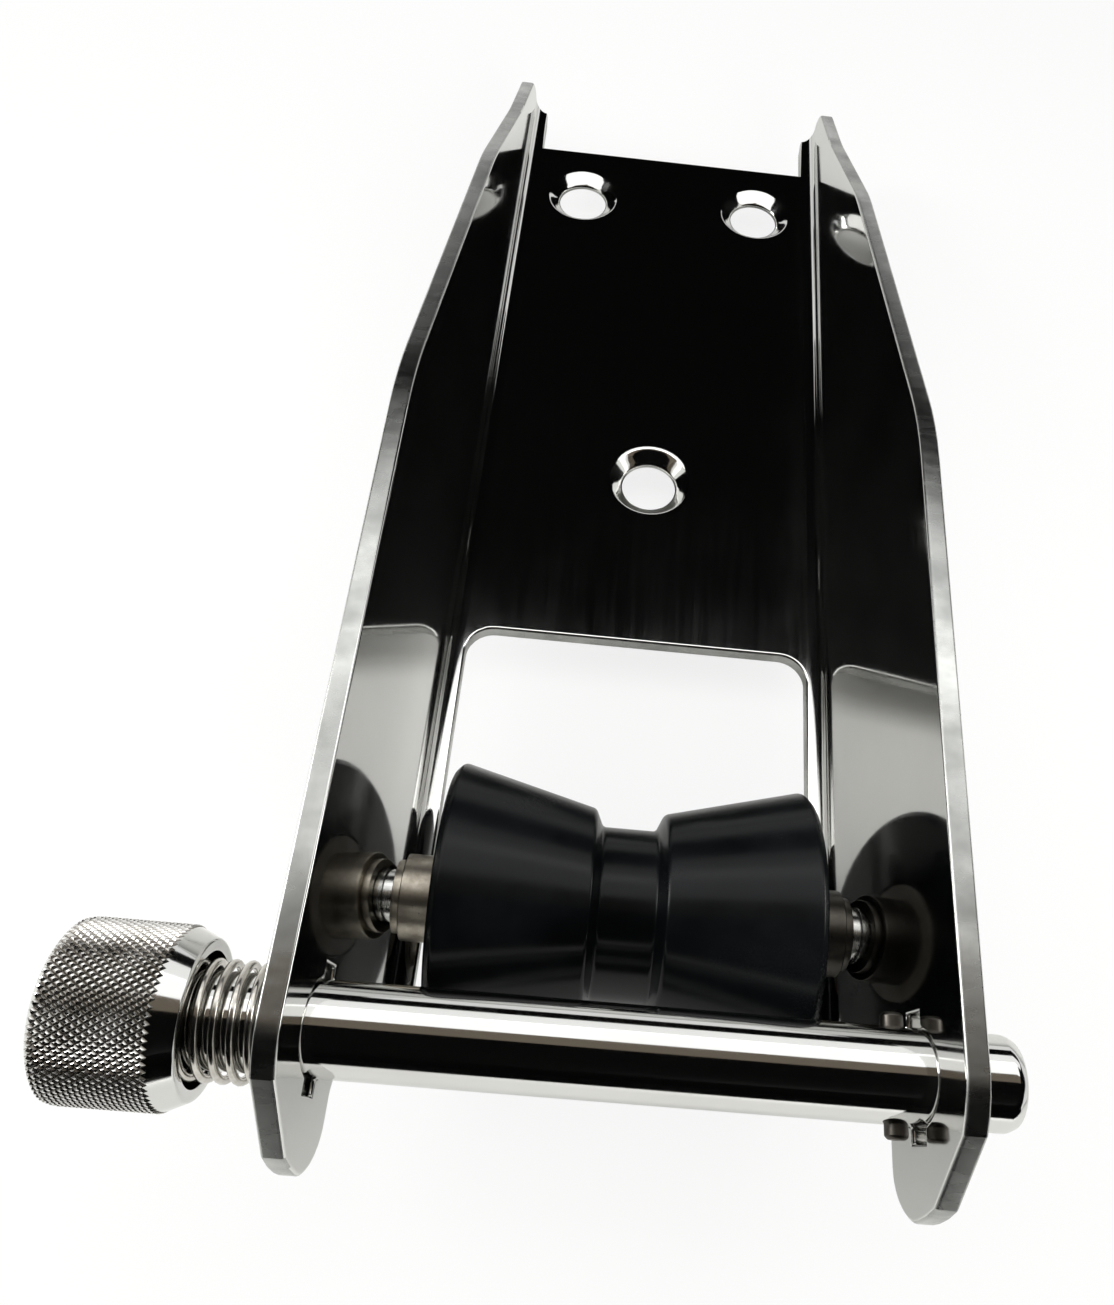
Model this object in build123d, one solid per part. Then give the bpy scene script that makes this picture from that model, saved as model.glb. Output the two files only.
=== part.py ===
from build123d import *
import os
from math import cos, pi, radians, sin, tan

# Stainless bow roller. Millimetres, +Z up, +Y towards the boat, +X to starboard.
# The origin is the centre of the middle bolt hole on the underside of the floor.

# Bent plate
plate = 3.0
bend_radius = 3.0
floor_flat = 62.4
lean = 8.0

# Side view of the channel, as places along Y and heights above the underside
floor_front = -115.5
floor_back = 95.0
cheek_height = 44.4
nose_reach = -129.0
nose_bottom = 23.7
nose_radius = 6.5
nose_slope = 45.0
nose_corner = 4.0
ramp_start = -15.6
ramp_middle = 59.5
ramp_middle_height = 26.3
ramp_foot = 92.0
ramp_foot_height = 14.2
ramp_round = 60.0
ear_tip = 111.5
ear_tip_height = 8.6
ear_foot = 103.6
ear_radius = 2.5

# Notch for the roller, open at the front
notch_back = -37.0
notch_radius = 5.0

# Bolt holes, countersunk from above
bolt_hole = 10.8
countersink = 16.4
countersink_depth = 2.4
back_holes_y = 80.3
back_holes_apart = 40.4

# Roller and its axle
axle_y = -90.1
axle_z = 13.0
roller_length = 54.0
roller_diameter = 42.0
waist_diameter = 26.2
waist_length = 8.2
shoulder_diameter = 31.6
shoulder_width = 1.2
roller_edge = 3.0
roller_bore = 14.0
bush_diameter = 18.0
bush_length = 12.0
sleeve_diameter = 13.0
sleeve_length = 66.0
spacer_diameter = 11.0
axle_diameter = 8.0
axle_head_diameter = 14.0
axle_head_height = 4.4
axle_head_rim = 1.2
axle_tip = 0.7
axle_key = 5.0
axle_key_depth = 2.6
washer_diameter = 15.0
washer_thickness = 1.5
nut_across_flats = 13.0
nut_height = 6.2
nut_collar_height = 2.0
nut_collar_diameter = 11.2
nut_ring_diameter = 9.8

# Retaining bar, its cross pin and its knob
bar_y = -112.0
bar_z = 31.6
bar_diameter = 12.0
bar_reach = 51.4
bar_chamfer = 1.0
pin_diameter = 3.0
pin_length = 15.4
pin_chamfer = 0.4
knob_diameter = 25.0
knob_face = -52.0
knob_face_diameter = 19.6
knob_cone = 2.6
knurl_length = 13.2
knob_end_length = 1.4
knob_end_diameter = 21.8
knurl_depth = 0.55
knurl_border = 0.15
knurl_count = 44
knurl_rows = 14
knob_recess_diameter = 17.2
knob_recess_depth = 9.5
knob_screw_diameter = 5.0
knob_screw_head = 9.6
knob_screw_length = 14.0
knob_screw_key = 3.0
knob_screw_key_depth = 1.8
knob_screw_room = 0.5
knob_floor = 2.6
spring_diameter = 16.5
spring_wire = 1.1
spring_turns = 8.6
spring_steps = 16
spring_sides = 8
spring_washer_diameter = 15.0
spring_washer_thickness = 1.0

# Clearances, how far a cut runs past a face, and the flats of a rounded corner
cut_past = 1.0
corner_steps = 5
running_fit = 0.06
bar_fit = 0.1
slot_fit = 0.2
bolt_fit = 0.2
seat_gap = 0.2
hidden_fit = 0.02

wall = plate / cos(radians(lean))


def inner_half(z):
    """Half the width between the cheeks at height z above the underside."""
    corner = floor_flat / 2 + bend_radius * tan(radians((90 - lean) / 2))
    return corner + (z - plate) * tan(radians(lean))


def outer_half(z):
    """Half the width over the cheeks at height z above the underside."""
    return inner_half(z) + wall


def rod(diameter, start, end, y, z):
    """A cylinder along X from start to end, on the axis at y and z."""
    plane = Plane(origin=(start, y, z), x_dir=(0, 1, 0), z_dir=(1, 0, 0))
    return extrude(plane * Circle(diameter / 2), amount=end - start)


def hexagon(across_flats, start, length, y, z):
    """A hexagonal prism along X, for a nut or the socket of a screw."""
    plane = Plane(origin=(start, y, z), z_dir=(1, 0, 0))
    return extrude(plane * RegularPolygon(across_flats / 2, 6, major_radius=False), amount=length)


def on_axis(solid, y, z):
    return Pos(0, y, z) * solid


def turned(points):
    """Revolves a closed outline of (x, radius) points about the X axis."""
    face = make_face(Polyline(*points, close=True))
    return revolve(face, Axis.X, 360)


def round_corner(end, radius, rounding):
    """Points of (x, radius) from the side of a turned piece round to its end, in short flats."""
    points = []
    for step in range(corner_steps + 1):
        angle = pi / 2 * step / corner_steps
        points.append((end - rounding * (1 - sin(angle)), radius - rounding * (1 - cos(angle))))
    return points


def channel_section():
    """The bent section: the middle line of the plate, given its thickness."""
    middle_radius = bend_radius + plate / 2
    corner = floor_flat / 2 + middle_radius * tan(radians((90 - lean) / 2))
    top = cheek_height + plate
    reach = corner + (top - plate / 2) * tan(radians(lean))
    path = FilletPolyline(
        (-reach, top), (-corner, plate / 2), (corner, plate / 2), (reach, top), radius=middle_radius
    )
    return trace(path, plate)


def channel_outline():
    """The side view: nose, level top, ramp and ears."""
    below = -plate
    nose_center = nose_reach + nose_radius
    offset = nose_radius / sin(radians(nose_slope))
    rise = cheek_height - nose_bottom - nose_radius
    slope_top = nose_center + rise / tan(radians(nose_slope)) - offset
    slope_foot = slope_top - (cheek_height - nose_bottom) / tan(radians(nose_slope))
    corners = [
        ((floor_front, below), 0),
        ((floor_front, nose_bottom), nose_corner),
        ((slope_foot, nose_bottom), nose_radius),
        ((slope_top, cheek_height), nose_corner),
        ((ramp_start, cheek_height), ramp_round),
        ((ramp_middle, ramp_middle_height), ramp_round),
        ((ramp_foot, ramp_foot_height), ramp_round),
        ((ear_tip, ear_tip_height), ear_radius),
        ((ear_foot, below), 0),
    ]
    outline = make_face(Polyline(*[point for point, radius in corners], close=True))
    for (y, z), radius in corners:
        if radius:
            nearest = outline.vertices().sort_by_distance((y, z, 0))[0]
            outline = fillet(nearest, radius)
    return outline


def countersunk_hole(x, y):
    through = Pos(x, y, plate / 2) * Cylinder(bolt_hole / 2, 2 * plate)
    cone = Cone(bolt_hole / 2, countersink / 2, countersink_depth)
    return through + Pos(x, y, plate - countersink_depth / 2) * cone


def keyhole():
    """The hole for the bar with a slot each way for its cross pin, through both cheeks."""
    reach = outer_half(cheek_height) + plate
    hole = rod(bar_diameter + 2 * bar_fit, -reach, reach, bar_y, bar_z)
    slot = Box(2 * reach, pin_length + 2 * slot_fit, pin_diameter + 2 * slot_fit)
    return hole + on_axis(slot, bar_y, bar_z)


def roller_notch():
    """Opens the floor between the bends, from the notch's rounded back to past the front."""
    length = 2 * (notch_back - floor_front)
    opening = RectangleRounded(floor_flat, length, notch_radius)
    return Pos(0, notch_back - length / 2, -plate) * extrude(opening, amount=3 * plate)


def make_channel():
    length = ear_tip - nose_reach + 2 * plate
    section = Plane.XZ.offset(-ear_tip - plate) * channel_section()
    bent = extrude(section, amount=length)
    outline = Plane.YZ * channel_outline()
    channel = bent & extrude(outline, amount=outer_half(cheek_height) + plate, both=True)
    tail = ear_tip + plate - floor_back
    tail_cut = Pos(0, floor_back + tail / 2, plate / 2) * Box(floor_flat, tail, 2 * plate)
    channel -= tail_cut
    channel -= roller_notch()
    channel -= countersunk_hole(0, 0)
    for side in (-1, 1):
        channel -= countersunk_hole(side * back_holes_apart / 2, back_holes_y)
    channel -= keyhole()
    reach = outer_half(cheek_height) + plate
    channel -= rod(axle_diameter + 2 * bolt_fit, -reach, reach, axle_y, axle_z)
    return channel


def make_roller():
    """A waisted roller with rounded rims, bored and counterbored for its bushes."""
    half = roller_length / 2
    big = roller_diameter / 2
    neck = waist_length / 2
    shoulder = neck + shoulder_width
    points = [
        (0, 0),
        (0, waist_diameter / 2),
        (neck, waist_diameter / 2),
        (shoulder, shoulder_diameter / 2),
        *round_corner(half, big, roller_edge),
        (half, 0),
    ]
    right = turned(points)
    roller = right + mirror(right, Plane.YZ)
    roller -= rod(roller_bore, -half - cut_past, half + cut_past, 0, 0)
    for start, end in ((-half - cut_past, bush_length - half), (half - bush_length, half + cut_past)):
        roller -= rod(bush_diameter, start, end, 0, 0)
    return on_axis(roller, axle_y, axle_z)


def make_bush(side):
    outside = side * roller_length / 2
    inside = outside - side * (bush_length - hidden_fit)
    start, end = sorted((inside, outside))
    bush = rod(bush_diameter - 2 * hidden_fit, start, end, axle_y, axle_z)
    return bush - rod(sleeve_diameter + 2 * running_fit, start - cut_past, end + cut_past, axle_y, axle_z)


def make_sleeve():
    half = sleeve_length / 2
    sleeve = rod(sleeve_diameter, -half, half, axle_y, axle_z)
    return sleeve - rod(axle_diameter + 2 * bolt_fit, -half - cut_past, half + cut_past, axle_y, axle_z)


def make_spacer(side):
    """Fills the room between the sleeve's end and the lowest point of the leaning cheek."""
    near = sleeve_length / 2 + hidden_fit
    far = inner_half(axle_z - spacer_diameter / 2) - seat_gap
    start, end = sorted((side * near, side * far))
    ring = rod(spacer_diameter, start, end, axle_y, axle_z)
    return ring - rod(axle_diameter + 2 * bolt_fit, start - cut_past, end + cut_past, axle_y, axle_z)


def washer_seat():
    """Where an outer axle washer's inner face lies, clear of the leaning cheek."""
    return outer_half(axle_z + washer_diameter / 2) + seat_gap


def make_axle_washer(side):
    near = washer_seat()
    start, end = sorted((side * near, side * (near + washer_thickness)))
    ring = rod(washer_diameter, start, end, axle_y, axle_z)
    return ring - rod(axle_diameter + 2 * bolt_fit, start - cut_past, end + cut_past, axle_y, axle_z)


def make_axle_bolt():
    """A low domed socket head on the left, with a shank that ends in the nut's collar."""
    seat = washer_seat() + washer_thickness + hidden_fit
    end = seat + nut_height + nut_collar_height + axle_tip
    top = seat + axle_head_height
    dome = round_corner(top, axle_head_diameter / 2, axle_head_height - axle_head_rim)
    head = mirror(turned([(seat, 0), (seat, axle_head_diameter / 2), *dome, (top, 0)]), Plane.YZ)
    head = on_axis(head, axle_y, axle_z)
    shank = rod(axle_diameter, -seat - axle_head_rim, end, axle_y, axle_z)
    shank = chamfer(shank.edges().sort_by(Axis.X)[-1], axle_tip)
    return head + shank - hexagon(axle_key, -top, axle_key_depth, axle_y, axle_z)


def make_axle_nut():
    """A hexagon with a round collar, hollowed for its nylon ring."""
    seat = washer_seat() + washer_thickness + hidden_fit
    end = seat + nut_height + nut_collar_height
    nut = hexagon(nut_across_flats, seat, nut_height, axle_y, axle_z)
    nut += rod(nut_collar_diameter, seat, end, axle_y, axle_z)
    nut -= rod(axle_diameter + 2 * hidden_fit, seat - cut_past, end + cut_past, axle_y, axle_z)
    return nut - rod(nut_ring_diameter, end - nut_collar_height, end + cut_past, axle_y, axle_z)


def make_nut_ring():
    seat = washer_seat() + washer_thickness + hidden_fit
    start = seat + nut_height + hidden_fit
    end = seat + nut_height + nut_collar_height
    ring = rod(nut_ring_diameter - 2 * hidden_fit, start, end, axle_y, axle_z)
    return ring - rod(axle_diameter + 2 * hidden_fit, start - cut_past, end + cut_past, axle_y, axle_z)


def pin_x():
    """The cross pin clears the leaning right cheek also when it is turned upright."""
    return inner_half(bar_z - pin_length / 2) - pin_diameter / 2 - seat_gap


def push_travel():
    """How far the bar moves before its upright pin lies outside the right cheek."""
    outside = outer_half(bar_z + pin_length / 2) + pin_diameter / 2 + seat_gap
    return outside - pin_x()


def bar_start():
    return knob_face - knob_cone - knurl_length - knob_end_length + knob_floor


def make_bar():
    bar = rod(bar_diameter, bar_start(), bar_reach, bar_y, bar_z)
    bar = chamfer(bar.edges().sort_by(Axis.X)[-1], bar_chamfer)
    cross_hole = Cylinder(pin_diameter / 2 + hidden_fit, 2 * bar_diameter)
    bar -= Pos(pin_x(), bar_y, bar_z) * Rot(90, 0, 0) * cross_hole
    hole_end = bar_start() + knob_screw_length
    hole = rod(knob_screw_diameter + 2 * hidden_fit, bar_start() - cut_past, hole_end, bar_y, bar_z)
    return bar - hole


def make_cross_pin():
    pin = Cylinder(pin_diameter / 2, pin_length)
    pin = chamfer(pin.edges().filter_by(GeomType.CIRCLE), pin_chamfer)
    return Pos(pin_x(), bar_y, bar_z) * Rot(90, 0, 0) * pin


def triangle(first, second, third):
    return Face(Wire.make_polygon([first, second, third], close=True))


def knurled_disc():
    """A body whose side is covered with small four-sided pyramids, in staggered rows."""
    start = knob_face - knob_cone - knurl_length
    step = knurl_length / knurl_rows
    crest = knob_diameter / 2
    valley = crest - knurl_depth

    def spot(column, row, radius):
        angle = 2 * pi * (column + row / 2) / knurl_count
        return Vector(start + row * step, radius * cos(angle), radius * sin(angle))

    faces = []
    for column in range(knurl_count):
        for row in range(1, knurl_rows):
            peak = spot(column + 0.5, row, crest)
            left = spot(column, row, valley)
            below = spot(column + 1, row - 1, valley)
            right = spot(column + 1, row, valley)
            above = spot(column, row + 1, valley)
            faces.append(triangle(peak, left, below))
            faces.append(triangle(peak, below, right))
            faces.append(triangle(peak, right, above))
            faces.append(triangle(peak, above, left))
        first = (spot(column, 0, valley), spot(column + 1, 0, valley), spot(column, 1, valley))
        last = [spot(column + shift, knurl_rows, valley) for shift in (0, 1)]
        faces.append(triangle(*first))
        faces.append(triangle(*last, spot(column + 1, knurl_rows - 1, valley)))
    for row in (0, knurl_rows):
        rim = [spot(column, row, valley) for column in range(knurl_count)]
        faces.append(Face(Wire.make_polygon(rim, close=True)))
    return Solid(Shell(faces))


def screw_head_height():
    return (knob_screw_head - knob_screw_diameter) / 2


def make_knob():
    knurl_end = knob_face - knob_cone
    knurl_start = knurl_end - knurl_length
    end = knurl_start - knob_end_length
    rim = knob_diameter / 2 - knurl_depth - knurl_border
    cone = turned([(knurl_end, 0), (knurl_end, rim), (knob_face, knob_face_diameter / 2), (knob_face, 0)])
    cap = turned([(end, 0), (end, knob_end_diameter / 2), (knurl_start, rim), (knurl_start, 0)])
    knob = knurled_disc() + cone + cap
    recess_end = knob_face - knob_recess_depth
    knob -= rod(knob_recess_diameter, recess_end, knob_face + cut_past, 0, 0)
    knob -= rod(bar_diameter + 2 * hidden_fit, bar_start() - hidden_fit, recess_end + cut_past, 0, 0)
    knob -= rod(knob_screw_diameter + 2 * hidden_fit, end - cut_past, bar_start() + cut_past, 0, 0)
    wide = knob_screw_head / 2 + hidden_fit
    narrow = knob_screw_diameter / 2 + hidden_fit
    depth = end + screw_head_height()
    knob -= turned([(end - cut_past, 0), (end - cut_past, wide), (end, wide), (depth, narrow), (depth, 0)])
    return on_axis(knob, bar_y, bar_z)


def make_knob_screw():
    end = bar_start() - knob_floor
    depth = end + screw_head_height()
    tip = bar_start() + knob_screw_length - knob_screw_room
    outline = [
        (end, 0),
        (end, knob_screw_head / 2 - hidden_fit),
        (depth, knob_screw_diameter / 2),
        (tip, knob_screw_diameter / 2),
        (tip, 0),
    ]
    screw = turned(outline)
    socket = hexagon(knob_screw_key, end, knob_screw_key_depth, 0, 0)
    return on_axis(screw - socket, bar_y, bar_z)


def spring_washer_face():
    """The side of the spring washer away from the cheek."""
    return -outer_half(bar_z + spring_washer_diameter / 2) - seat_gap - spring_washer_thickness


def make_spring_washer():
    start = spring_washer_face()
    end = start + spring_washer_thickness
    ring = rod(spring_washer_diameter, start, end, bar_y, bar_z)
    return ring - rod(bar_diameter + 2 * bar_fit, start - cut_past, end + cut_past, bar_y, bar_z)


def make_spring():
    """A coil from the washer to the bottom of the recess in the knob, with flats along its wire."""
    radius = (spring_diameter - spring_wire) / 2
    start = spring_washer_face() - spring_wire / 2 - hidden_fit
    end = knob_face - knob_recess_depth + spring_wire / 2 + hidden_fit
    steps = round(spring_turns * spring_steps)

    def spot(step, side):
        turn = 2 * pi * spring_turns * step / steps
        around = 2 * pi * side / spring_sides
        reach = radius + spring_wire / 2 * cos(around)
        along = start + (end - start) * step / steps + spring_wire / 2 * sin(around)
        return Vector(along, reach * cos(turn), reach * sin(turn))

    faces = []
    for step in range(steps):
        for side in range(spring_sides):
            near = spot(step, side)
            beside = spot(step, side + 1)
            ahead = spot(step + 1, side)
            across = spot(step + 1, side + 1)
            faces.append(triangle(near, beside, across))
            faces.append(triangle(near, across, ahead))
    for step in (0, steps):
        rim = [spot(step, side) for side in range(spring_sides)]
        faces.append(Face(Wire.make_polygon(rim, close=True)))
    return on_axis(Solid(Shell(faces)), bar_y, bar_z)


def main():
    os.makedirs("parts", exist_ok=True)
    pieces = {
        "channel": make_channel(),
        "roller": make_roller(),
        "roller_bush_left": make_bush(-1),
        "roller_bush_right": make_bush(1),
        "axle_sleeve": make_sleeve(),
        "axle_spacer_left": make_spacer(-1),
        "axle_spacer_right": make_spacer(1),
        "axle_bolt": make_axle_bolt(),
        "axle_washer_left": make_axle_washer(-1),
        "axle_washer_right": make_axle_washer(1),
        "axle_nut": make_axle_nut(),
        "axle_nut_ring": make_nut_ring(),
        "retaining_bar": make_bar(),
        "cross_pin": make_cross_pin(),
        "knob": make_knob(),
        "knob_screw": make_knob_screw(),
        "spring": make_spring(),
        "spring_washer": make_spring_washer(),
    }
    for name, piece in pieces.items():
        export_step(piece, f"parts/{name}.step")
    print(f"cross pin at x = {pin_x():.2f}, push travel {push_travel():.2f}")
    print(f"spring washer face at x = {spring_washer_face():.2f}")


main()
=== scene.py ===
from math import atan2, cos, hypot, pi, radians, sin, sqrt, tan

import bmesh
import bpy
from mathutils import Matrix, Vector


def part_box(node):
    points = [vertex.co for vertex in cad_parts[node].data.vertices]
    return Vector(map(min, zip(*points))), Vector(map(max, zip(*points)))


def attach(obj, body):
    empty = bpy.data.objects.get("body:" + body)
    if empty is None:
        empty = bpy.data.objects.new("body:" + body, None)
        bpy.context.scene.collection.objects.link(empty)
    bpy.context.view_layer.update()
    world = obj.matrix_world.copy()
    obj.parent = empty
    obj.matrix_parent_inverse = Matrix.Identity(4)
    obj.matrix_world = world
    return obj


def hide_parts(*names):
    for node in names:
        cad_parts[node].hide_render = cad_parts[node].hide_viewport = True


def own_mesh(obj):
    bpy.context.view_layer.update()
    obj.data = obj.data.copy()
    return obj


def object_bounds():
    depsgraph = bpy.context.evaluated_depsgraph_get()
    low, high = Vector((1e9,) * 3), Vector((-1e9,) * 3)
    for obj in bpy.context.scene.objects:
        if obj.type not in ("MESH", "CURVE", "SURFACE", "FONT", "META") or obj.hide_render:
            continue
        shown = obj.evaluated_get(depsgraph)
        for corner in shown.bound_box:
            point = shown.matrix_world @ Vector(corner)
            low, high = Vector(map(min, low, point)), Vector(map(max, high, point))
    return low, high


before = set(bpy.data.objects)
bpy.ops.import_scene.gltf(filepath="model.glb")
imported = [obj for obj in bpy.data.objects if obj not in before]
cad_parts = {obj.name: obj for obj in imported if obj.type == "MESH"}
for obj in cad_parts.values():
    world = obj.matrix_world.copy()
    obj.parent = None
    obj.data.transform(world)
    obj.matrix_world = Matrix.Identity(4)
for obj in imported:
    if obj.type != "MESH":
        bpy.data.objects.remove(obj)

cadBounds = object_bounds()
scene = bpy.context.scene
scene.view_settings.view_transform = "Standard"
print("frame loaded")


# Shader helpers

def startMaterial(name):
    material = bpy.data.materials.new(name)
    material.use_nodes = True
    tree = material.node_tree
    shader = tree.nodes["Principled BSDF"]
    coords = tree.nodes.new("ShaderNodeTexCoord")
    return material, tree, shader, coords.outputs["Object"]


def scaled(tree, vector, scale):
    mapping = tree.nodes.new("ShaderNodeMapping")
    mapping.inputs["Scale"].default_value = scale
    tree.links.new(vector, mapping.inputs["Vector"])
    return mapping.outputs["Vector"]


def noiseOn(tree, vector, scale, detail=2.0, roughness=0.5):
    noise = tree.nodes.new("ShaderNodeTexNoise")
    noise.inputs["Scale"].default_value = scale
    noise.inputs["Detail"].default_value = detail
    noise.inputs["Roughness"].default_value = roughness
    tree.links.new(vector, noise.inputs["Vector"])
    return noise.outputs["Fac"]


def spread(tree, value, low, high, fromLow=0.3, fromHigh=0.7):
    # noise values sit round a half, so they are stretched to the two ends
    node = tree.nodes.new("ShaderNodeMapRange")
    node.inputs["From Min"].default_value = fromLow
    node.inputs["From Max"].default_value = fromHigh
    node.inputs["To Min"].default_value = low
    node.inputs["To Max"].default_value = high
    tree.links.new(value, node.inputs["Value"])
    return node.outputs["Result"]


def combine(tree, first, second, how="ADD"):
    node = tree.nodes.new("ShaderNodeMath")
    node.operation = how
    tree.links.new(first, node.inputs[0])
    tree.links.new(second, node.inputs[1])
    return node.outputs["Value"]


def blendColours(tree, factor, first, second):
    # each end is a plain colour or the output of another node
    node = tree.nodes.new("ShaderNodeMix")
    node.data_type = "RGBA"
    for place, end in (("A", first), ("B", second)):
        if isinstance(end, bpy.types.NodeSocket):
            tree.links.new(end, node.inputs[place])
        else:
            node.inputs[place].default_value = (*end, 1)
    tree.links.new(factor, node.inputs["Factor"])
    return node.outputs["Result"]


def coat(tree, shader, colour, rough, metallic):
    tree.links.new(colour, shader.inputs["Base Color"])
    tree.links.new(rough, shader.inputs["Roughness"])
    shader.inputs["Metallic"].default_value = metallic


def bumpInto(tree, shader, height, strength, distance):
    bump = tree.nodes.new("ShaderNodeBump")
    bump.inputs["Strength"].default_value = strength
    bump.inputs["Distance"].default_value = distance
    tree.links.new(height, bump.inputs["Height"])
    tree.links.new(bump.outputs["Normal"], shader.inputs["Normal"])


# Materials

def makePolishedSteel():
    # a buffed mirror with faint wipe marks, finger smudges and a slight roll of the sheet
    material, tree, shader, coords = startMaterial("polishedSteel")
    smudges = noiseOn(tree, coords, scale=42, detail=4, roughness=0.6)
    wipes = noiseOn(tree, scaled(tree, coords, (1, 0.06, 1)), scale=900, detail=3, roughness=0.55)
    roll = noiseOn(tree, coords, scale=60, detail=1)
    colour = blendColours(tree, spread(tree, smudges, 0, 1), (0.66, 0.66, 0.64), (0.60, 0.60, 0.585))
    rough = combine(tree, spread(tree, smudges, 0.035, 0.085), spread(tree, wipes, 0, 0.03))
    coat(tree, shader, colour, rough, metallic=1.0)
    height = combine(tree, roll, spread(tree, wipes, 0, 0.02))
    bumpInto(tree, shader, height, strength=0.10, distance=0.0002)
    return material


def makeSatinEdge():
    # cut edges of the plate, dressed with a fine belt and then rubbed
    material, tree, shader, coords = startMaterial("satinEdge")
    grain = noiseOn(tree, scaled(tree, coords, (0.3, 1, 1)), scale=700)
    patches = noiseOn(tree, coords, scale=110, detail=3, roughness=0.55)
    colour = blendColours(tree, spread(tree, patches, 0, 1), (0.46, 0.465, 0.445), (0.26, 0.265, 0.255))
    rough = combine(tree, spread(tree, patches, 0.17, 0.30), spread(tree, grain, 0, 0.06))
    coat(tree, shader, colour, rough, metallic=1.0)
    bumpInto(tree, shader, grain, strength=0.10, distance=0.00003)
    return material


def makeTurnedSteel():
    # lathe rings round the X axis, brownish with age, and painted shade that turns it black towards the
    # right end
    material, tree, shader, coords = startMaterial("turnedSteel")
    rings = noiseOn(tree, scaled(tree, coords, (1, 0.02, 0.02)), scale=3200, detail=3, roughness=0.6)
    stain = noiseOn(tree, coords, scale=240, detail=5, roughness=0.7)
    aged = blendColours(tree, spread(tree, stain, 0, 1), (0.50, 0.46, 0.39), (0.26, 0.23, 0.185))
    parts = tree.nodes.new("ShaderNodeSeparateXYZ")
    tree.links.new(coords, parts.inputs["Vector"])
    # painted shade: pieces towards the right end go nearly black
    rightEndShade = spread(tree, parts.outputs["X"], 0, 0.88, fromLow=0.010, fromHigh=0.026)
    colour = blendColours(tree, rightEndShade, aged, (0.03, 0.028, 0.026))
    rough = combine(tree, spread(tree, stain, 0.24, 0.40), spread(tree, rings, 0, 0.10))
    coat(tree, shader, colour, rough, metallic=1.0)
    bumpInto(tree, shader, rings, strength=0.35, distance=0.00004)
    return material


def makeFastenerSteel():
    # bolt, nut and washers: plain bright steel with tool marks
    material, tree, shader, coords = startMaterial("fastenerSteel")
    marks = noiseOn(tree, scaled(tree, coords, (1, 0.1, 0.1)), scale=1800, detail=3, roughness=0.6)
    smudges = noiseOn(tree, coords, scale=190, detail=4, roughness=0.6)
    colour = blendColours(tree, spread(tree, smudges, 0, 1), (0.62, 0.62, 0.60), (0.46, 0.46, 0.44))
    rough = combine(tree, spread(tree, smudges, 0.14, 0.26), spread(tree, marks, 0, 0.08))
    coat(tree, shader, colour, rough, metallic=1.0)
    bumpInto(tree, shader, marks, strength=0.2, distance=0.00003)
    return material


def makeKnurlSteel():
    # bright crests and painted shade in the grooves, told apart by the mesh's own attribute, with random
    # grime
    material, tree, shader, coords = startMaterial("knurlSteel")
    crest = tree.nodes.new("ShaderNodeAttribute")
    crest.attribute_name = knurl["attribute"]
    crests = spread(tree, crest.outputs["Fac"], 0, 1, fromLow=0.15, fromHigh=0.85)
    grime = noiseOn(tree, coords, scale=260, detail=3, roughness=0.6)
    # painted shade darkens the grooves, and the grime noise adds real dirt on top
    grooveShadeAndGrime = combine(tree, crests, spread(tree, grime, -0.25, 0.25))
    colour = blendColours(tree, grooveShadeAndGrime, (0.20, 0.185, 0.16), (0.72, 0.71, 0.685))
    worn = spread(tree, crests, 0.40, 0.14, fromLow=0, fromHigh=1)
    coat(tree, shader, colour, combine(tree, worn, spread(tree, grime, 0, 0.08)), metallic=1.0)
    bumpInto(tree, shader, grime, strength=0.12, distance=0.00004)
    return material


def makeSpringSteel():
    # drawn wire, a little yellow
    material, tree, shader, coords = startMaterial("springSteel")
    drawn = noiseOn(tree, coords, scale=700, detail=3, roughness=0.6)
    colour = blendColours(tree, spread(tree, drawn, 0, 1), (0.62, 0.60, 0.56), (0.42, 0.40, 0.36))
    coat(tree, shader, colour, spread(tree, drawn, 0.12, 0.24), metallic=1.0)
    bumpInto(tree, shader, drawn, strength=0.12, distance=0.00003)
    return material


def makeRollerRubber():
    # black moulded rubber with a worn haze, faint turning lines and dust
    material, tree, shader, coords = startMaterial("rollerRubber")
    haze = noiseOn(tree, coords, scale=55, detail=4, roughness=0.6)
    lines = noiseOn(tree, scaled(tree, coords, (1, 0.03, 0.03)), scale=1500)
    dust = noiseOn(tree, coords, scale=2400, roughness=0.7)
    worn = spread(tree, haze, 0, 1, fromLow=0.35, fromHigh=0.75)
    colour = blendColours(tree, worn, (0.0015, 0.0018, 0.002), (0.0045, 0.0052, 0.006))
    rough = combine(tree, spread(tree, haze, 0.14, 0.26), spread(tree, dust, 0, 0.05))
    coat(tree, shader, colour, rough, metallic=0.0)
    shader.inputs["Specular IOR Level"].default_value = 0.16
    bumpInto(tree, shader, combine(tree, lines, dust), strength=0.08, distance=0.00003)
    return material


def makeNylon():
    # natural nylon, coloured a dark brown with cloudy patches
    material, tree, shader, coords = startMaterial("bushNylon")
    clouds = noiseOn(tree, coords, scale=260, detail=3, roughness=0.6)
    colour = blendColours(tree, spread(tree, clouds, 0, 1), (0.11, 0.10, 0.085), (0.07, 0.063, 0.052))
    coat(tree, shader, colour, spread(tree, clouds, 0.42, 0.58), metallic=0.0)
    shader.inputs["Subsurface Weight"].default_value = 0.1
    shader.inputs["Subsurface Radius"].default_value = (0.002, 0.0018, 0.0014)
    bumpInto(tree, shader, clouds, strength=0.1, distance=0.00005)
    return material


knurl = {
    "attribute": "crest",
    "columns": 74,
    "rows": 21,
    "depth": 0.00028,
    "slope": 0.00025,
    "rowTolerance": 0.02,
}

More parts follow.
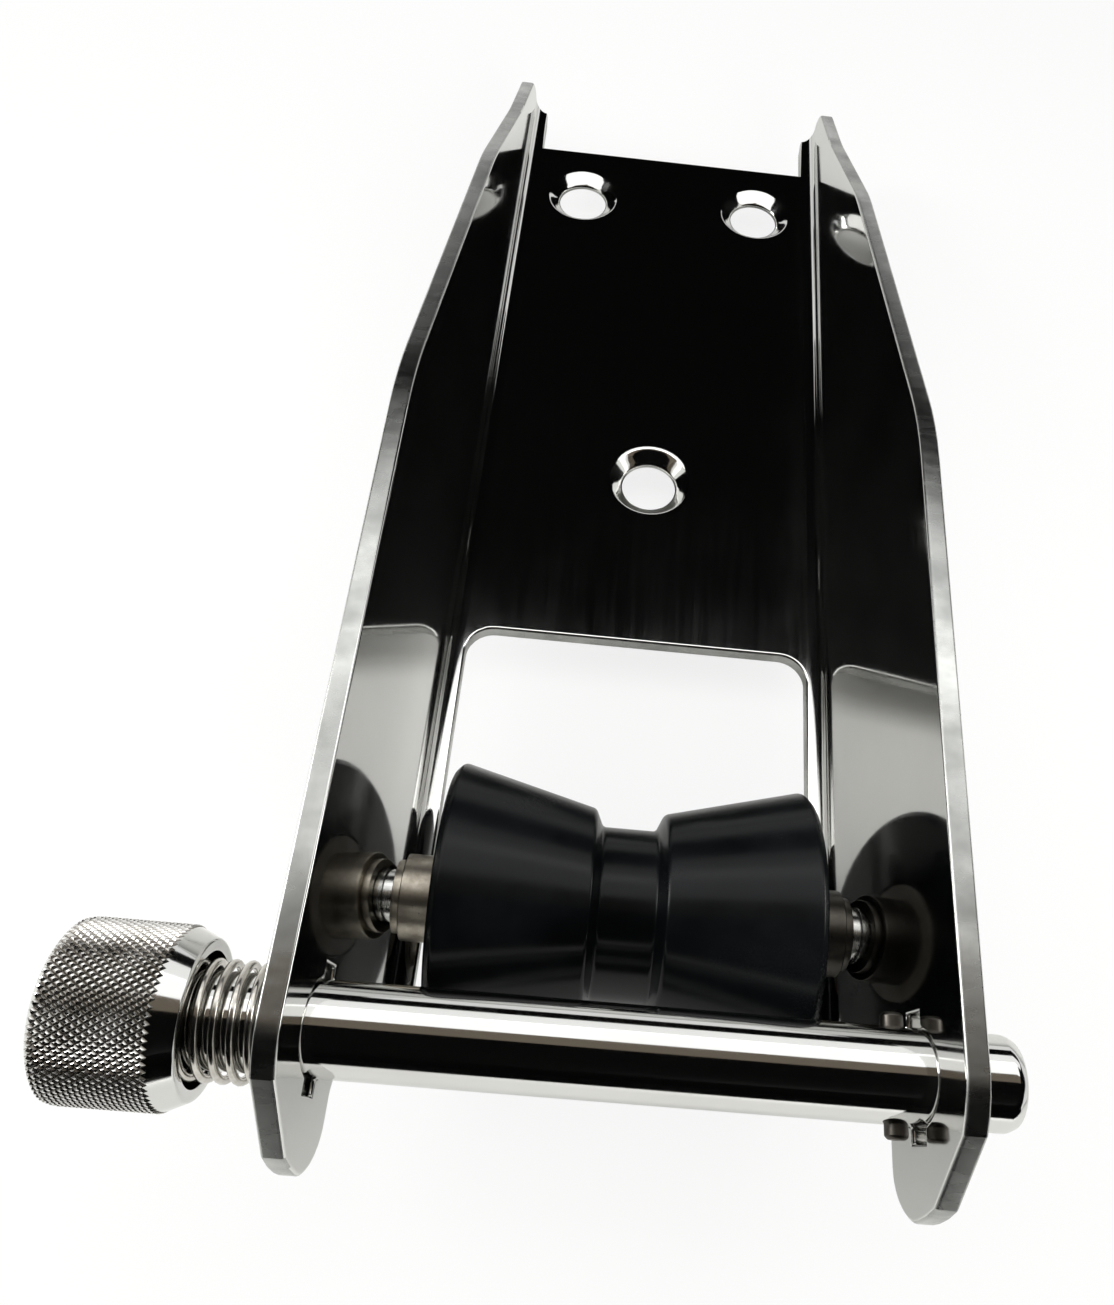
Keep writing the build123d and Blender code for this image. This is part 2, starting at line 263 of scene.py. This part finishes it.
polishedSteel = makePolishedSteel()
satinEdge = makeSatinEdge()
turnedSteel = makeTurnedSteel()
fastenerSteel = makeFastenerSteel()
knurlSteel = makeKnurlSteel()
springSteel = makeSpringSteel()
rollerRubber = makeRollerRubber()
bushNylon = makeNylon()
print("materials made")


# Ways of making pieces

meshRules = {
    "merge": 1e-6,
    "seam": 2e-6,
    "onPlane": 1e-7,
    "flat": radians(0.4),
    "bevelled": radians(28),
    "creased": radians(48),
    "roundSteps": 6,
}


def axisOf(low, high):
    # Y and Z of a turned piece's axis, which runs along X
    return (low.y + high.y) / 2, (low.z + high.z) / 2


def smoothAll(bm):
    for face in bm.faces:
        face.smooth = True


def linkMesh(name, bm, materials):
    data = bpy.data.meshes.new(name)
    bm.to_mesh(data)
    bm.free()
    for material in materials:
        data.materials.append(material)
    thing = bpy.data.objects.new(name, data)
    scene.collection.objects.link(thing)
    return thing


def addPiece(name, bm, body, slotName, materials, *replaced):
    bmesh.ops.recalc_face_normals(bm, faces=bm.faces)
    for edge in bm.edges:
        edge.smooth = edge.calc_face_angle(0) < meshRules["creased"]
    piece = linkMesh(name, bm, materials)
    weights = piece.modifiers.new("evenNormals", "WEIGHTED_NORMAL")  # level mirrors beside rounded edges
    weights.keep_sharp = True
    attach(piece, body)
    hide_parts(*replaced)
    return piece


def mergedCopy(node):
    bm = bmesh.new()
    bm.from_mesh(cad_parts[node].data)
    bmesh.ops.remove_doubles(bm, verts=bm.verts, dist=meshRules["merge"])
    bmesh.ops.dissolve_limit(bm, angle_limit=meshRules["flat"], verts=bm.verts, edges=bm.edges)
    bmesh.ops.recalc_face_normals(bm, faces=bm.faces)
    for face in bm.faces:
        face.material_index = 0
    smoothAll(bm)
    return bm


def roundEdges(bm, width, segments=3):
    sharp = [edge for edge in bm.edges if edge.calc_face_angle(0) > meshRules["bevelled"]]
    bmesh.ops.bevel(
        bm, geom=sharp, offset=width, offset_type="OFFSET", segments=segments,
        profile=0.5, affect="EDGES", material=-1, clamp_overlap=False, loop_slide=True,
    )
    smoothAll(bm)


def turnedPiece(corners, axis, steps=96):
    # corners are (place along X, radius, rounding); the outline is closed and spun round the axis
    bm = bmesh.new()
    verts = [bm.verts.new((x, axis[0], axis[1] + radius)) for x, radius, rounding in corners]
    bm.faces.new(verts)
    for vert, (x, radius, rounding) in zip(verts, corners):
        if rounding:
            bmesh.ops.bevel(
                bm, geom=[vert], offset=rounding, offset_type="OFFSET", segments=meshRules["roundSteps"],
                profile=0.5, affect="VERTICES", material=-1, clamp_overlap=True,
            )
    bmesh.ops.delete(bm, geom=list(bm.faces), context="FACES_ONLY")
    bmesh.ops.spin(
        bm, geom=list(bm.verts) + list(bm.edges), cent=(0, *axis), axis=(1, 0, 0),
        angle=2 * pi, steps=steps, use_merge=True,
    )
    bmesh.ops.remove_doubles(bm, verts=bm.verts, dist=meshRules["seam"])
    smoothAll(bm)
    return bm


def cutBeyond(bm, place, out):
    # removes what lies beyond a plane and gives the edges round the open cut
    cut = bmesh.ops.bisect_plane(
        bm, geom=list(bm.verts) + list(bm.edges) + list(bm.faces), dist=meshRules["onPlane"],
        plane_co=place, plane_no=out, clear_outer=True,
    )
    return [item for item in cut["geom_cut"] if isinstance(item, bmesh.types.BMEdge)]


# Places that the channel, the knob, the bar and the spring share

barLow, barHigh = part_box("retaining_bar")
barAxis = axisOf(barLow, barHigh)
barRadius = (barHigh.z - barLow.z) / 2


# Channel

channel = {
    "rounding": 0.0005,
    "floorTop": 0.0031,
    "floorHalf": 0.031,
    "floorEnds": (-0.036, 0.094),
    "holeReach": 0.0085,
    "tilt": 0.02,
    "sideways": 0.996,
    "noseRadius": 0.0175,
    "noseSteps": 12,
}


def isCutFace(face):
    # away from the floor, the sheet's own faces run along Y and are never quite upright,
    # and the faces in the bolt holes and keyholes stay polished too
    normal, middle = face.normal, face.calc_center_median()
    start, end = channel["floorEnds"]
    inFloor = abs(middle.x) < channel["floorHalf"] and start < middle.y < end
    aroundBar = hypot(middle.y - barAxis[0], middle.z - barAxis[1]) < channel["holeReach"]
    if (inFloor and middle.z < channel["floorTop"]) or aroundBar:
        return False
    level = abs(normal.x) < channel["tilt"] and middle.z > channel["floorTop"]
    return abs(normal.y) > channel["tilt"] or level or abs(normal.x) > channel["sideways"]


def roundNoses(bm):
    # the top front corner of both cheeks is one long curve, cut here by a fan of planes
    low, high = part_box("channel")
    radius, steps = channel["noseRadius"], channel["noseSteps"]
    middle = Vector((0, low.y + radius, high.z - radius))
    for step in range(1, steps):
        turn = pi / 2 * step / steps
        out = Vector((0, -cos(turn), sin(turn)))
        bmesh.ops.holes_fill(bm, edges=cutBeyond(bm, middle + out * radius, out))
    bmesh.ops.recalc_face_normals(bm, faces=bm.faces)
    bm.normal_update()


def makeChannel():
    bm = mergedCopy("channel")
    roundNoses(bm)
    for face in bm.faces:
        face.material_index = int(isCutFace(face))
    roundEdges(bm, channel["rounding"])
    return bm


addPiece("bentChannel", makeChannel(), "channel", "polished_steel", [polishedSteel, satinEdge], "channel")
print("channel made")


# Roller

roller = {
    "neckRadius": 0.0131,
    "neckHalf": 0.0041,
    "shoulderRadius": 0.0158,
    "shoulderWidth": 0.0012,
    "rim": 0.0024,
    "fine": 0.0005,
    "bore": 0.00706,
    "bushSeat": 0.009,
    "bushLength": 0.012,
}


def makeRoller():
    low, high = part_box("roller")
    half, rimRadius = high.x, (high.z - low.z) / 2
    shoulder = roller["neckHalf"] + roller["shoulderWidth"]
    side = [
        (roller["neckHalf"], roller["neckRadius"], roller["fine"]),
        (shoulder, roller["shoulderRadius"], roller["fine"]),
        (half - roller["rim"] / 2, rimRadius, roller["fine"]),
        (half, rimRadius - roller["rim"] / 2, roller["fine"]),
        (half, roller["bushSeat"], roller["fine"]),
        (half - roller["bushLength"], roller["bushSeat"], 0),
        (half - roller["bushLength"], roller["bore"], 0),
    ]
    otherSide = [(-x, radius, rounding) for x, radius, rounding in reversed(side)]
    return turnedPiece(otherSide + side, axisOf(low, high))


addPiece("waistedRoller", makeRoller(), "roller", "roller_rubber", [rollerRubber], "roller")
print("roller made")


# Knob: the knurl starts as a net of points on the turned body, and its diamonds are inset and raised

knob = {
    "radius": 0.0113,
    "shoulder": 0.0019,
    "endLength": 0.0005,
    "endRadius": 0.0095,
    "knurlLength": 0.0141,
    "faceRadius": 0.0098,
    "rounding": 0.0003,
    "recessRadius": 0.0083,
    "recessDepth": 0.0095,
    "bore": 0.00602,
    "floor": 0.0026,
    "screwRadius": 0.00252,
    "screwHead": 0.00482,
    "outside": 0.009,
}


def knurlRadius(along):
    # the net's radius at a place along the knob, with the closed end rounded off
    valley = knob["radius"] - knurl["depth"]
    left = max(knob["shoulder"] - along, 0)
    return valley - knob["shoulder"] + sqrt(knob["shoulder"] ** 2 - left ** 2)


def makeKnob():
    low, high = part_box("knob")
    start = low.x + knob["endLength"]
    step = knob["knurlLength"] / knurl["rows"]
    fine = knob["rounding"]
    rows = [start + row * step for row in range(knurl["rows"] + 1)]
    corners = [
        (low.x, knob["endRadius"], fine),
        *[(x, knurlRadius(x - low.x), 0) for x in rows],
        (high.x, knob["faceRadius"], fine),
        (high.x, knob["recessRadius"], fine / 2),
        (high.x - knob["recessDepth"], knob["recessRadius"], 0),
        (high.x - knob["recessDepth"], knob["bore"], 0),
        (low.x + knob["floor"], knob["bore"], 0),
        (low.x + knob["floor"], knob["screwRadius"], 0),
        (low.x + knob["screwHead"] - knob["screwRadius"], knob["screwRadius"], 0),
        (low.x, knob["screwHead"], 0),
    ]
    bm = turnedPiece(corners, barAxis, steps=2 * knurl["columns"])
    crest = bm.verts.layers.float.new(knurl["attribute"])
    net, peaks = [], []
    for vert in bm.verts:
        out = Vector((vert.co.y - barAxis[0], vert.co.z - barAxis[1]))
        place = (vert.co.x - start) / step
        row = round(place)
        onRow = abs(place - row) <= knurl["rowTolerance"] and 0 <= row <= knurl["rows"]
        if not onRow or out.length < knob["outside"]:
            continue
        column = round(atan2(out.x, out.y) * knurl["columns"] / pi)
        if (row + column) % 2 == 0:
            net.append(vert)
        elif 0 < row < knurl["rows"]:
            peaks.append(vert)
    bmesh.ops.connect_verts(bm, verts=net)
    bmesh.ops.dissolve_verts(bm, verts=peaks)
    bmesh.ops.recalc_face_normals(bm, faces=bm.faces)
    grooves = set(net)
    diamonds = [face for face in bm.faces if len(face.verts) == 4 and grooves.issuperset(face.verts)]
    for face in bm.faces:
        face.material_index = 0 if grooves.issuperset(face.verts) else 1
    raised = bmesh.ops.inset_individual(
        bm, faces=diamonds, thickness=knurl["slope"], depth=knurl["depth"], use_even_offset=True,
    )
    for face in diamonds + raised["faces"]:
        face.material_index = 0
        face.smooth = False
        for vert in face.verts:
            vert[crest] = 0.0 if vert in grooves else 1.0
    return bm


addPiece("knurledKnob", makeKnob(), "bar", "knurled_steel", [knurlSteel, polishedSteel], "knob")
print("knob made")


# Bar and spring

bar = {
    "tipInset": 0.001,
    "tipLength": 0.0014,
    "tipDrop": 0.0007,
    "tipRounding": 0.0005,
}

spring = {
    "radius": 0.0075,
    "wire": 0.0011,
    "turns": 8.6,
    "closedTurns": 0.5,
    "stepsPerTurn": 40,
    "sides": 12,
    "startTurn": 0.15,
}


def makeBar():
    tip = barHigh.x - bar["tipInset"]
    corners = [
        (barLow.x, 0, 0),
        (barLow.x, barRadius, 0),
        (tip - bar["tipLength"], barRadius, bar["tipRounding"]),
        (tip, barRadius - bar["tipDrop"], bar["tipRounding"]),
        (tip, 0, 0),
    ]
    return turnedPiece(corners, barAxis)


def makeSpring():
    low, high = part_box("spring")
    wire, closed = spring["wire"], spring["closedTurns"]
    radius = spring["radius"] - wire / 2
    openTurns = spring["turns"] - 2 * closed
    pitch = (high.x - low.x - wire - 2 * closed * wire) / openTurns
    bm = bmesh.new()
    place = Matrix.Translation((low.x + wire / 2, barAxis[0], barAxis[1] + radius))
    upright = place @ Matrix.Rotation(pi / 2, 4, "X")
    bmesh.ops.create_circle(bm, segments=spring["sides"], radius=wire / 2, matrix=upright)
    turned = Matrix.Rotation(2 * pi * spring["startTurn"], 3, "X")
    bmesh.ops.rotate(bm, verts=bm.verts, cent=(0, *barAxis), matrix=turned)
    last = list(bm.verts) + list(bm.edges)
    for turns, rise in ((closed, wire), (openTurns, pitch), (closed, wire)):
        steps = round(turns * spring["stepsPerTurn"])
        last = bmesh.ops.spin(
            bm, geom=last, cent=(0, *barAxis), axis=(1, 0, 0), dvec=(turns * rise / steps, 0, 0),
            angle=2 * pi * turns, steps=steps, use_merge=False,
        )["geom_last"]
    bmesh.ops.holes_fill(bm, edges=[edge for edge in bm.edges if edge.is_boundary])
    smoothAll(bm)
    return bm


addPiece("retainingBar", makeBar(), "bar", "polished_steel", [polishedSteel], "retaining_bar")
coil = addPiece("coilSpring", makeSpring(), "spring", "spring_steel", [springSteel], "spring")
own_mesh(coil)
print("bar and spring made")


# Nut: a turned blank with a chamfer, cut by its six flats

nut = {
    "steps": 144,
    "chamfer": radians(30),
    "faceShare": 0.94,
    "collarRadius": 0.0056,
    "collar": 0.002,
    "collarRounding": 0.0005,
    "ringSeat": 0.0049,
    "bore": 0.00402,
}


def makeNut():
    low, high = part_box("axle_nut")
    axis = axisOf(low, high)
    flats = min(high.y - low.y, high.z - low.z) / 2
    corner = flats / cos(pi / 6)
    face = flats * nut["faceShare"]
    drop = (corner - face) * tan(nut["chamfer"])
    hexEnd = high.x - nut["collar"]
    corners = [
        (low.x, nut["bore"], 0),
        (low.x, face, 0),
        (low.x + drop, corner, 0),
        (hexEnd - drop, corner, 0),
        (hexEnd, face, 0),
        (hexEnd, nut["collarRadius"], 0),
        (high.x, nut["collarRadius"], nut["collarRounding"]),
        (high.x, nut["ringSeat"], 0),
        (hexEnd, nut["ringSeat"], 0),
        (hexEnd, nut["bore"], 0),
    ]
    bm = turnedPiece(corners, axis, steps=nut["steps"])
    firstFlat = 0 if (high.z - low.z) > (high.y - low.y) else pi / 6
    for side in range(6):
        turn = side * pi / 3 + firstFlat
        out = Vector((0, cos(turn), sin(turn)))
        edges = cutBeyond(bm, Vector((0, *axis)) + out * flats, out)
        bmesh.ops.contextual_create(bm, geom=edges)
    smoothAll(bm)
    return bm


addPiece("axleNut", makeNut(), "channel", "brushed_steel", [fastenerSteel], "axle_nut")


# Small pieces keep their CAD shape, with their edges eased

easedPieces = [
    # node, piece, body, slot, material, rounding
    ("axle_bolt", "axleBolt", "channel", "brushed_steel", fastenerSteel, 0.00015),
    ("axle_washer_left", "axleWasherLeft", "channel", "brushed_steel", fastenerSteel, 0.00018),
    ("axle_washer_right", "axleWasherRight", "channel", "brushed_steel", fastenerSteel, 0.00018),
    ("axle_sleeve", "axleSleeve", "channel", "brushed_steel", turnedSteel, 0.0002),
    ("axle_spacer_left", "axleSpacerLeft", "channel", "brushed_steel", turnedSteel, 0.0001),
    ("axle_spacer_right", "axleSpacerRight", "channel", "brushed_steel", turnedSteel, 0.0001),
    ("spring_washer", "springWasher", "washer", "brushed_steel", fastenerSteel, 0.00015),
    ("cross_pin", "crossPin", "bar", "brushed_steel", turnedSteel, 0.00015),
    ("knob_screw", "knobScrew", "bar", "brushed_steel", fastenerSteel, 0.0001),
]

for node, name, body, slotName, material, rounding in easedPieces:
    bm = mergedCopy(node)
    roundEdges(bm, rounding)
    addPiece(name, bm, body, slotName, [material], node)

for node in ("roller_bush_left", "roller_bush_right", "axle_nut_ring"):
    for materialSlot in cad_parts[node].material_slots:
        materialSlot.material = bushNylon
print("small pieces made")


# Camera, lights and floor

camera = {
    "place": (-0.00836, -0.12693, 0.16600),
    "turn": (25.2831, -4.0036, 3.9927),  # degrees round X, Y and Z
    "sensor": 36,
    "lens": 27.877,
    "shift": (-0.04897, 0.03663),
    "nearest": 0.005,
}

studio = {
    "worldFill": 0.55,
    "floor": {"drop": 0.0001, "size": 6.0, "colour": (0.80, 0.80, 0.78), "roughness": 0.8, "show": 0.82},
    "cardColour": (0.004, 0.004, 0.004),
    "cards": {
        # place, size, turn round X
        "overhead": ((0, 0, 0.45), (4.0, 4.0), 0),
        "front": ((0, -1.6, 0.22), (4.0, 0.46), pi / 2),
    },
    "lamps": {
        "strip": {"place": (0, 0, 0.205), "aim": (0, 0, 0), "size": (0.5, 0.12), "power": 0.31},
        "low": {"place": (0, -0.008, 0.115), "aim": (0, -0.112, 0.03), "size": (0.5, 0.05), "power": 0.10},
        "glow": {"place": (0, -0.088, 0.205), "aim": (0, -0.088, 0), "size": (0.5, 0.056), "power": 0.016},
        "front": {"place": (0.25, -0.75, 0.40), "aim": (0, -0.05, 0), "size": (0.3, 0.25), "power": 4.0},
        "left": {"place": (-0.8, 0.1, 0.40), "aim": (0, 0, 0), "size": (0.25, 0.4), "power": 4.0},
    },
    "mirrored": ("strip", "low", "glow", "left"),
    "lampColour": (1, 1, 1),
    "tints": {"glow": (1.0, 0.84, 0.66)},
}


def makeCamera():
    data = bpy.data.cameras.new("camera")
    data.sensor_fit = "AUTO"
    data.sensor_width = camera["sensor"]
    data.lens = camera["lens"]
    data.shift_x, data.shift_y = camera["shift"]
    data.clip_start = camera["nearest"]
    eye = bpy.data.objects.new("camera", data)
    eye.location = camera["place"]
    eye.rotation_euler = [radians(angle) for angle in camera["turn"]]
    scene.collection.objects.link(eye)
    scene.camera = eye


def makeWorld():
    # camera, mirror and glass rays see plain white, and the rest get a softer light
    world = bpy.data.worlds.new("studio")
    world.use_nodes = True
    scene.world = world
    tree = world.node_tree
    path = tree.nodes.new("ShaderNodeLightPath")
    seen = combine(tree, path.outputs["Is Camera Ray"], path.outputs["Is Glossy Ray"], "MAXIMUM")
    seen = combine(tree, seen, path.outputs["Is Transmission Ray"], "MAXIMUM")
    background = tree.nodes["Background"]
    background.inputs["Color"].default_value = (1, 1, 1, 1)
    strength = spread(tree, seen, studio["worldFill"], 1, fromLow=0, fromHigh=1)
    tree.links.new(strength, background.inputs["Strength"])


def dullMaterial(name, colour, roughness):
    material = bpy.data.materials.new(name)
    material.use_nodes = True
    shader = material.node_tree.nodes["Principled BSDF"]
    shader.inputs["Base Color"].default_value = (*colour, 1)
    shader.inputs["Roughness"].default_value = roughness
    shader.inputs["Specular IOR Level"].default_value = 0.0
    return material, material.node_tree, shader


def makeFloor():
    # the camera sees the floor lifted towards white, with faint shadows
    ground = studio["floor"]
    low, high = cadBounds
    bm = bmesh.new()
    bmesh.ops.create_grid(bm, x_segments=1, y_segments=1, size=ground["size"])
    bmesh.ops.translate(bm, verts=bm.verts, vec=(0, 0, low.z - ground["drop"]))
    material, tree, shader = dullMaterial("studioFloor", ground["colour"], ground["roughness"])
    white = tree.nodes.new("ShaderNodeEmission")
    path = tree.nodes.new("ShaderNodeLightPath")
    share = spread(tree, path.outputs["Is Camera Ray"], 0, ground["show"], fromLow=0, fromHigh=1)
    mix = tree.nodes.new("ShaderNodeMixShader")
    tree.links.new(share, mix.inputs["Fac"])
    tree.links.new(shader.outputs["BSDF"], mix.inputs[1])
    tree.links.new(white.outputs["Emission"], mix.inputs[2])
    tree.links.new(mix.outputs["Shader"], tree.nodes["Material Output"].inputs["Surface"])
    floor = linkMesh("studioFloor", bm, [material])


def makeDarkCards():
    # black cards that are seen only in reflections
    material, tree, shader = dullMaterial("studioCard", studio["cardColour"], roughness=1.0)
    for name, (place, size, turn) in studio["cards"].items():
        bm = bmesh.new()
        bmesh.ops.create_grid(bm, x_segments=1, y_segments=1, size=0.5)
        bmesh.ops.scale(bm, verts=bm.verts, vec=(*size, 1))
        bmesh.ops.rotate(bm, verts=bm.verts, matrix=Matrix.Rotation(turn, 3, "X"))
        bmesh.ops.translate(bm, verts=bm.verts, vec=place)
        card = linkMesh(name + "Card", bm, [material])
        card.visible_camera = False
        card.visible_diffuse = False
        card.visible_shadow = False
        card.visible_transmission = False


def makeLamps():
    for name, lamp in studio["lamps"].items():
        data = bpy.data.lights.new(name, "AREA")
        data.shape = "RECTANGLE"
        data.size, data.size_y = lamp["size"]
        data.energy = lamp["power"]
        data.color = studio["tints"].get(name, studio["lampColour"])
        light = bpy.data.objects.new(name, data)
        light.visible_camera = False
        light.visible_glossy = name in studio["mirrored"]
        light.location = lamp["place"]
        aim = Vector(lamp["aim"]) - Vector(lamp["place"])
        light.rotation_mode = "QUATERNION"
        light.rotation_quaternion = aim.to_track_quat("-Z", "Y")
        scene.collection.objects.link(light)


makeCamera()
makeWorld()
makeFloor()
makeDarkCards()
makeLamps()
print("studio made")
